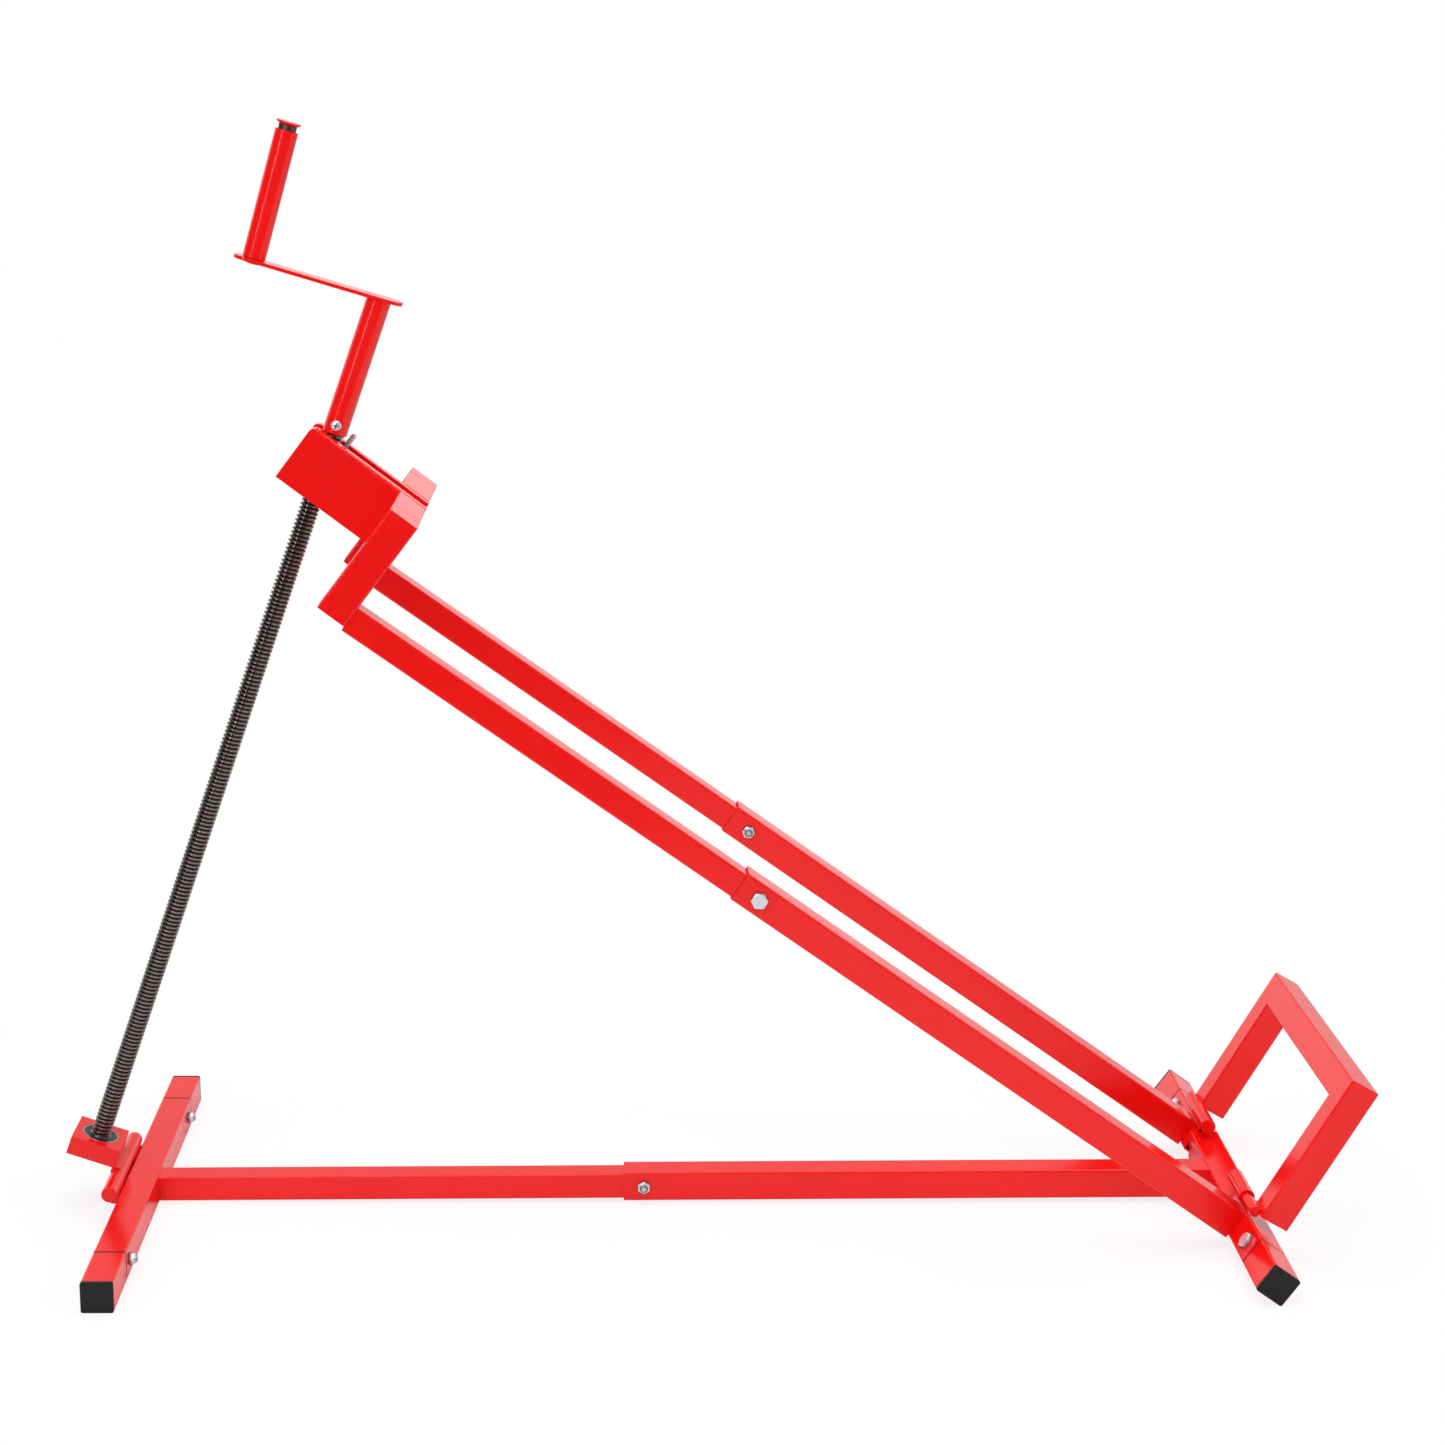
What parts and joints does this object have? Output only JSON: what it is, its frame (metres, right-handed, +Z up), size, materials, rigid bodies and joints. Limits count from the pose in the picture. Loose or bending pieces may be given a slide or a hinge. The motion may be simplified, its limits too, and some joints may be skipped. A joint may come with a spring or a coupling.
{
  "type": "lawn mower lift jack",
  "caption": "Red square-tube jack for lifting the front of a ride-on mower: hinged arms raised by a hand-cranked lead screw, with a folding wheel stop.",
  "frame": {"origin": "on the floor under the middle of the front bar", "axes": "+X back along the base tube to the rear foot, +Y across, +Z up"},
  "size_m": [1.474, 0.6, 1.2338],
  "materials": {
    "red_paint": "gloss powder coat",
    "black_plastic": "moulded",
    "zinc_steel": "bright zinc",
    "dark_steel": "oiled dark",
    "seal": "matte"
  },
  "bodies": {
    "base": {"front_bar": "red_paint", "front_knuckle_near": "red_paint", "front_knuckle_far": "red_paint", "front_hinge_pin": "zinc_steel", "front_leg_near": "red_paint", "front_leg_far": "red_paint", "front_cap_near": "black_plastic", "front_cap_far": "black_plastic", "front_bolt_near": "zinc_steel", "front_bolt_far": "zinc_steel", "base_inner_tube": "red_paint", "base_outer_tube": "red_paint", "base_bolt": "zinc_steel", "rear_cross_tube": "red_paint"},
    "arms": {"pivot_shaft": "dark_steel", "rear_stub_near": "red_paint", "rear_stub_far": "red_paint", "rear_leg_near": "red_paint", "rear_leg_far": "red_paint", "rear_cap_near": "black_plastic", "rear_cap_far": "black_plastic", "rear_bolt_near": "zinc_steel", "rear_bolt_far": "zinc_steel", "stop_barrel_near": "red_paint", "stop_barrel_far": "red_paint", "arm_outer_near": "red_paint", "arm_outer_far": "red_paint", "arm_inner_near": "red_paint", "arm_inner_far": "red_paint", "arm_bolt_near": "zinc_steel", "arm_bolt_far": "zinc_steel", "upright_near": "red_paint", "upright_far": "red_paint", "head_tube_near": "red_paint", "head_tube_far": "red_paint", "head_channel": "red_paint", "head_stud": "zinc_steel", "nut_pivot_pin": "zinc_steel"},
    "wheel_stop": {"stop_leg_near": "red_paint", "stop_leg_far": "red_paint", "stop_top": "red_paint", "stop_knuckle_near": "red_paint", "stop_knuckle_far": "red_paint"},
    "nut_block": {"nut_block": "dark_steel"},
    "bearing_block": {"bearing_block": "red_paint", "bearing_outer_ring": "zinc_steel", "bearing_seal": "seal", "bearing_balls": "zinc_steel"},
    "lead_screw": {"lead_screw": "dark_steel", "bearing_inner_ring": "zinc_steel", "retaining_washer": "zinc_steel", "retaining_bolt": "zinc_steel", "crank_tube": "red_paint", "crank_bar": "red_paint", "crank_bolt": "zinc_steel", "grip_spindle": "dark_steel", "spindle_disc": "red_paint"},
    "grip": {"grip_sleeve": "red_paint"}
  },
  "joints": [
    {"name": "arm_lift", "type": "hinge", "parent": "base", "child": "arms", "pos_m": [1.2637, 0, 0.0234], "axis": [0, 1, 0], "range_deg": [-31, 0]},
    {"name": "wheel_stop_fold", "type": "hinge", "parent": "arms", "child": "wheel_stop", "pos_m": [1.26289, 0, 0.05699], "axis": [0, -1, 0], "range_deg": [0, 84]},
    {"name": "nut_pivot", "type": "hinge", "parent": "arms", "child": "nut_block", "pos_m": [0.24596, 0, 0.81654], "axis": [0, 1, 0], "range_deg": [-1, 16]},
    {"name": "block_pivot", "type": "hinge", "parent": "base", "child": "bearing_block", "pos_m": [-0.0265, 0, 0.039], "axis": [0, 1, 0], "range_deg": [-16, 1]},
    {"name": "screw_turn", "type": "hinge", "parent": "bearing_block", "child": "lead_screw", "pos_m": [-0.05991, 0, 0.05071], "axis": [0.3307, 0, 0.9437], "continuous": true},
    {"name": "grip_spin", "type": "hinge", "parent": "lead_screw", "child": "grip", "pos_m": [0.15339, 0, 1.08204], "axis": [0.2758, 0, 0.9612], "continuous": true}
  ],
  "couplings": [
    {"joint": "nut_pivot", "follows": "arm_lift", "ratio": -0.5},
    {"joint": "block_pivot", "follows": "arm_lift", "ratio": 0.5}
  ]
}
